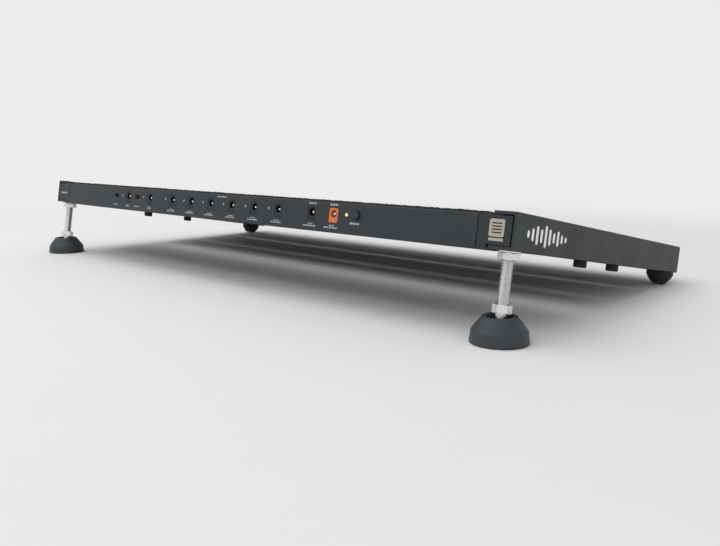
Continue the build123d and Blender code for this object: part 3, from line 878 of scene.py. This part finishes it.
def tufted_field(low, high, rng):
    """A closed field of small uneven bumps, lower at its rim."""
    bm = bmesh.new()
    inset = 0.5
    columns = int((high.x - low.x - 2 * inset) / TUFT_SPACING)
    rows = int((high.y - low.y - 2 * inset) / TUFT_SPACING)
    floor_w = low.z + BACKING_THICKNESS * 0.6
    grid = []
    for r in range(rows + 1):
        line = []
        for c in range(columns + 1):
            x = low.x + inset + (high.x - low.x - 2 * inset) * c / columns
            v = low.y + inset + (high.y - low.y - 2 * inset) * r / rows
            rim = r in (0, rows) or c in (0, columns)
            w = floor_w if rim else low.z + rng.uniform(TUFT_LOW, TUFT_HIGH) * (high.z - low.z)
            jitter = 0 if rim else 0.3
            point = (x + rng.uniform(-jitter, jitter), v + rng.uniform(-jitter, jitter), w)
            line.append(bm.verts.new(point))
        grid.append(line)
    for below, above in zip(grid, grid[1:]):
        for i in range(columns):
            bm.faces.new((below[i], below[i + 1], above[i + 1], above[i]))
    return bm


def loose_loops(low, high, rng):
    """Fine nylon loops standing out of the pile, each a thin three-sided strand."""
    bm = bmesh.new()
    count = int((high.x - low.x) * (high.y - low.y) / 100 * LOOPS_PER_CM2)
    base = low.z + 0.3
    crown = high.z - STRAND_RADIUS - 0.02 - base
    margin = 0.8
    for _ in range(count):
        x = rng.uniform(low.x + margin, high.x - margin)
        v = rng.uniform(low.y + margin, high.y - margin)
        heading = rng.uniform(0, math.pi)
        half_span = rng.uniform(0.35, 1.0)
        rise = crown * rng.uniform(0.3, 1.0)
        lean = rng.uniform(-0.4, 0.4)
        along = Vector((math.cos(heading), math.sin(heading), 0))
        across = Vector((-along.y, along.x, 0))
        strand(bm, Vector((x, v, base)), along, across, half_span, rise, lean)
    return bm


def strand(bm, foot, along, across, half_span, rise, lean):
    """One arched strand from foot to foot."""
    rings = []
    for k in range(6):
        turn = math.pi * k / 5
        middle = foot - along * half_span * math.cos(turn)
        middle += Vector((0, 0, rise * math.sin(turn))) + across * lean * math.sin(turn)
        outward = -along * math.cos(turn) + Vector((0, 0, math.sin(turn)))
        # an even triangle: sine and cosine of 60 degrees
        corners = (outward, across * 0.87 - outward * 0.5, -across * 0.87 - outward * 0.5)
        rings.append([bm.verts.new(middle + corner * STRAND_RADIUS) for corner in corners])
    for lower, upper in zip(rings, rings[1:]):
        join_rings(bm, lower, upper)
    bm.faces.new(list(reversed(rings[0])))
    bm.faces.new(rings[-1])


rail_under = {
    "loop_strip_power_bar": "power_bar_housing_finished",
    "loop_strip_rear_rail": "rear_cross_rail_finished",
    "loop_strip_sliding_rail_a": "sliding_cross_rail_a_finished",
    "loop_strip_sliding_rail_b": "sliding_cross_rail_b_finished",
    "loop_strip_front_rail": "front_cross_rail_finished",
}

# ---------------------------------------------------------------- build the pieces
SHARP = 0.12
FINE = 0.2
PLAIN = 0.3
ROUND = 0.5
edge_width = {
    "power_bar_housing": PLAIN,
    "rear_corner_left": PLAIN,
    "rear_corner_right": PLAIN,
    "jack_pins": ROUND,
    "status_leds": SHARP,
    "power_led": SHARP,
    "slide_switch_knob_1": SHARP,
    "slide_switch_knob_2": SHARP,
}
DRAWN_STEMS = (
    "foot_spindle",
    "foot_washer",
    "foot_jam_nut",
    "foot_base",
    "foot_pad",
    "rubber_foot",
    "clamp_screws",
    "loop_strip",
)


def drawn_here(node):
    """True for a node whose visible shape is drawn in this script."""
    return node.startswith(DRAWN_STEMS) and node != "rubber_foot_screws"


for node_name in sorted(frame["nodes"]):
    if not drawn_here(node_name):
        coat = CROSS_RAIL_COAT if node_name.endswith(("cross_rail", "rail_a", "rail_b")) else None
        finished(node_name, edge_width.get(node_name, FINE), material=coat)

for side_name in SIDES:
    levelling_spindle(side_name)
    jam_nut(side_name)
    washer(side_name)
    swivel_base(side_name)
    floor_pad(side_name)
    rubber_foot(side_name)
for rail_letter in "ab":
    clamp_screws(rail_letter)
for strip_number, strip_node in enumerate(rail_under):
    loop_strip(strip_node, strip_number + 1)

# ---------------------------------------------------------------- generic marks
INK = 0.06


def flat_outline(bm, corners, thickness):
    """A thin closed plate from a flat outline in local x and y."""
    bottom = [bm.verts.new((x, y, 0)) for x, y in corners]
    top = [bm.verts.new((x, y, thickness)) for x, y in corners]
    join_rings(bm, bottom, top)
    bm.faces.new(list(reversed(bottom)))
    bm.faces.new(top)


def rounded_rectangle(x, y, width, height, radius):
    """Outline of a rectangle with round corners about (x, y)."""
    steps = 4
    radius = min(radius, width / 2, height / 2)
    corners = []
    for quarter in range(4):
        cx = x + (width / 2 - radius) * (1 if quarter in (0, 3) else -1)
        cy = y + (height / 2 - radius) * (1 if quarter in (0, 1) else -1)
        for i in range(steps + 1):
            angle = math.pi / 2 * (quarter + i / steps)
            corners.append((cx + radius * math.cos(angle), cy + radius * math.sin(angle)))
    return corners


def rear_face_frame(v=0.0):
    """Local x along the width, y square to the board, z out of the rear face."""
    local = Matrix((Vector((1, 0, 0)), Vector((0, 0, 1)), Vector((0, -1, 0)))).transposed().to_4x4()
    return BOARD_MM @ Matrix.Translation((0, v, 0)) @ local


def right_side_frame():
    """Local x along the board towards the player, y square to it, z out of the right side."""
    local = Matrix((Vector((0, 1, 0)), Vector((0, 0, 1)), Vector((1, 0, 0)))).transposed().to_4x4()
    half = span("side_rail_right")[1].x
    return BOARD_MM @ Matrix.Translation((half, 0, 0)) @ local


def marks(name, outlines, matrix, body, material, thickness=INK):
    """A set of flat printed shapes as one piece."""
    bm = bmesh.new()
    for outline in outlines:
        flat_outline(bm, outline, thickness)
    mesh = mesh_from(name, bm, matrix)
    return piece(name, mesh, body, material)


def caption(x, w, width, height, words):
    """Plain dashes where one line of a caption would be printed."""
    gap = 0.5
    each = (width - gap * (words - 1)) / words
    return [
        rounded_rectangle(x - width / 2 + each / 2 + i * (each + gap), w, each, height, 0.2)
        for i in range(words)
    ]


jack_nodes = ["output_jack_%d" % n for n in range(1, 9)]
jack_centres = [centre(node).x for node in jack_nodes]
link_x, input_x = centre("link_jack").x, centre("input_jack").x
button_x = centre("power_button").x

# lines of a caption: offset along the width, height above the rail's underside, length,
# letter height and number of words
FIRST_OUTPUT = ((-0.5, 3.9, 4.2, 0.8, 2), (-0.8, 2.5, 6.6, 0.9, 3))
OTHER_OUTPUT = ((-0.8, 3.9, 6.6, 0.8, 3), (-1.4, 2.4, 12.4, 1.0, 5))
SLIDE_SWITCH = ((1.4, 3.4, 8.6, 1.0, 3),)
OUTPUT_GROUP = ((-15.0, 19.4, 13.0, 1.1, 4),)
LINK_OR_INPUT = ((0.0, 19.8, 8.0, 1.3, 3), (-0.5, 4.2, 5.2, 0.8, 2), (-1.6, 2.6, 13.6, 1.1, 5))
POWER_SWITCH = ((-1.2, 7.2, 9.0, 1.5, 3),)
LEFT_CORNER = ((12.0, 10.6, 14.0, 1.7, 4),)


def captions_at(places, lines):
    """The same caption at each of several places along the width."""
    made = []
    for x in places:
        for offset, w, width, height, words in lines:
            made += caption(x + offset, w, width, height, words)
    return made


knobs = [centre("slide_switch_knob_%d" % n).x for n in (1, 2)]
captions = captions_at(jack_centres[:2], FIRST_OUTPUT)
captions += captions_at(jack_centres[2:], OTHER_OUTPUT)
captions += captions_at(knobs, SLIDE_SWITCH)
captions += captions_at([jack_centres[5]], OUTPUT_GROUP)
captions += captions_at([link_x, input_x], LINK_OR_INPUT)
captions += captions_at([button_x], POWER_SWITCH)
marks("rear_captions", captions, rear_face_frame(), "frame", GREY_INK)

label = captions_at([span("rear_corner_left")[0].x], LEFT_CORNER)
marks("left_corner_label", label, rear_face_frame(), "frame", GREY_INK)

badge_x = span("rear_corner_right")[1].x - 10.1
plate = [rounded_rectangle(badge_x, 13.2, width=10.8, height=11.0, radius=1.4)]
marks("badge_plate", plate, rear_face_frame(), "frame", BADGE, thickness=0.3)
bar = [rounded_rectangle(badge_x, 6.0, width=10.4, height=1.8, radius=0.4)]
marks("badge_bar", bar, rear_face_frame(), "frame", BADGE, thickness=0.15)
lines = [
    rounded_rectangle(badge_x, 10.3 + 1.95 * i, width=7.2, height=0.8, radius=0.4)
    for i in range(4)
]
marks("badge_lines", lines, rear_face_frame(-0.3), "frame", MATERIALS["module_black"], 0.05)

LEVELS = (4.8, 8.2, 12.0, 8.8, 14.2, 10.6, 6.8, 10.0, 5.8, 3.8)
LEVEL_WIDTH = 2.9
levels = [
    rounded_rectangle(16.0 + 5.7 * i, 11.8, LEVEL_WIDTH, level, radius=LEVEL_WIDTH / 2)
    for i, level in enumerate(LEVELS)
]
marks("side_level_meter", levels, right_side_frame(), "frame", WHITE_INK)

# ---------------------------------------------------------------- floor, light and camera
FLOOR_GREY = srgb(235, 235, 236)
HORIZON_GREY = srgb(236, 236, 236)
FADE_START, FADE_END = 0.42, 1.05  # distance from the object's middle
SKY_START, SKY_END = 0.22, 0.42  # sine of the elevation
CAMERA_PLACE = (0.5163, -0.5174, 0.1181)
CAMERA_HEADING, CAMERA_TILT, CAMERA_ROLL = (math.radians(a) for a in (42.227, -9.784, -0.272))
CAMERA_LENS = 35.46


def floor_material():
    """Pale matte floor that fades into the backdrop's grey far from the object."""
    s = Surface("studio_floor", 0.8)
    s.colour(s.mixed(s.noise(40, 3), scaled(FLOOR_GREY, 0.99), FLOOR_GREY))
    length = s.node("ShaderNodeVectorMath", operation="LENGTH")
    s.link(s.place, length.inputs[0])
    fade = s.node("ShaderNodeMapRange", interpolation_type="SMOOTHSTEP")
    fade.inputs["From Min"].default_value = FADE_START
    fade.inputs["From Max"].default_value = FADE_END
    s.link(length.outputs["Value"], fade.inputs["Value"])
    glow = s.node("ShaderNodeEmission")
    glow.inputs["Color"].default_value = HORIZON_GREY
    mix = s.node("ShaderNodeMixShader")
    s.link(fade.outputs["Result"], mix.inputs[0])
    s.link(s.shader.outputs[0], mix.inputs[1])
    s.link(glow.outputs[0], mix.inputs[2])
    output = next(n for n in s.tree.nodes if n.type == "OUTPUT_MATERIAL")
    s.link(mix.outputs[0], output.inputs["Surface"])
    return s.material


def floor():
    """A wide disc at the object's base."""
    bm = bmesh.new()
    lathe(bm, [(0, 0)] + [(r, 0) for r in (0.6, 1.2, 2.5, 5.0, 12.0)], 96)
    made = bpy.data.objects.new("studio_floor", mesh_from("studio_floor", bm, Matrix.Identity(4)))
    made.data.materials.append(floor_material())
    bpy.context.scene.collection.objects.link(made)


def area_light(name, location, target, width, height, power):
    """A soft rectangular light aimed at a point."""
    data = bpy.data.lights.new(name, "AREA")
    data.shape = "RECTANGLE"
    data.size, data.size_y = width, height
    data.energy = power
    lamp = bpy.data.objects.new(name, data)
    lamp.location = location
    lamp.rotation_euler = (Vector(target) - Vector(location)).to_track_quat("-Z", "Y").to_euler()
    bpy.context.scene.collection.objects.link(lamp)


def world(sky, horizon):
    """Pale surroundings near the horizon and a dimmer sky above them."""
    made = bpy.data.worlds.new("studio")
    made.use_nodes = True
    tree = made.node_tree
    background = tree.nodes["Background"]
    background.inputs["Color"].default_value = HORIZON_GREY
    direction = tree.nodes.new("ShaderNodeTexCoord").outputs["Generated"]
    split = tree.nodes.new("ShaderNodeSeparateXYZ")
    tree.links.new(direction, split.inputs[0])
    rise = tree.nodes.new("ShaderNodeMapRange")
    rise.interpolation_type = "SMOOTHSTEP"
    for end, elevation, brightness in (("Min", SKY_START, horizon), ("Max", SKY_END, sky)):
        rise.inputs["From " + end].default_value = elevation
        rise.inputs["To " + end].default_value = brightness
    tree.links.new(split.outputs["Z"], rise.inputs["Value"])
    tree.links.new(rise.outputs["Result"], background.inputs["Strength"])
    bpy.context.scene.world = made


def camera():
    """The camera: low, outside the right rear corner, looking along the board."""
    data = bpy.data.cameras.new("camera")
    data.sensor_width = 36.0
    data.lens = CAMERA_LENS
    data.clip_start = 0.01
    made = bpy.data.objects.new("camera", data)
    turn = Matrix.Rotation(CAMERA_HEADING, 4, "Z") @ Matrix.Rotation(CAMERA_TILT, 4, "X")
    level_out = Matrix.Rotation(CAMERA_ROLL, 4, "Y") @ Matrix.Rotation(math.radians(90), 4, "X")
    made.matrix_world = Matrix.Translation(CAMERA_PLACE) @ turn @ level_out
    bpy.context.scene.collection.objects.link(made)
    bpy.context.scene.camera = made


floor()
area_light("overhead", (-0.4, -0.55, 1.6), target=(0, 0, 0), width=2.0, height=1.7, power=18)
world(sky=0.66, horizon=1.0)
camera()
bpy.context.scene.view_settings.view_transform = "Standard"
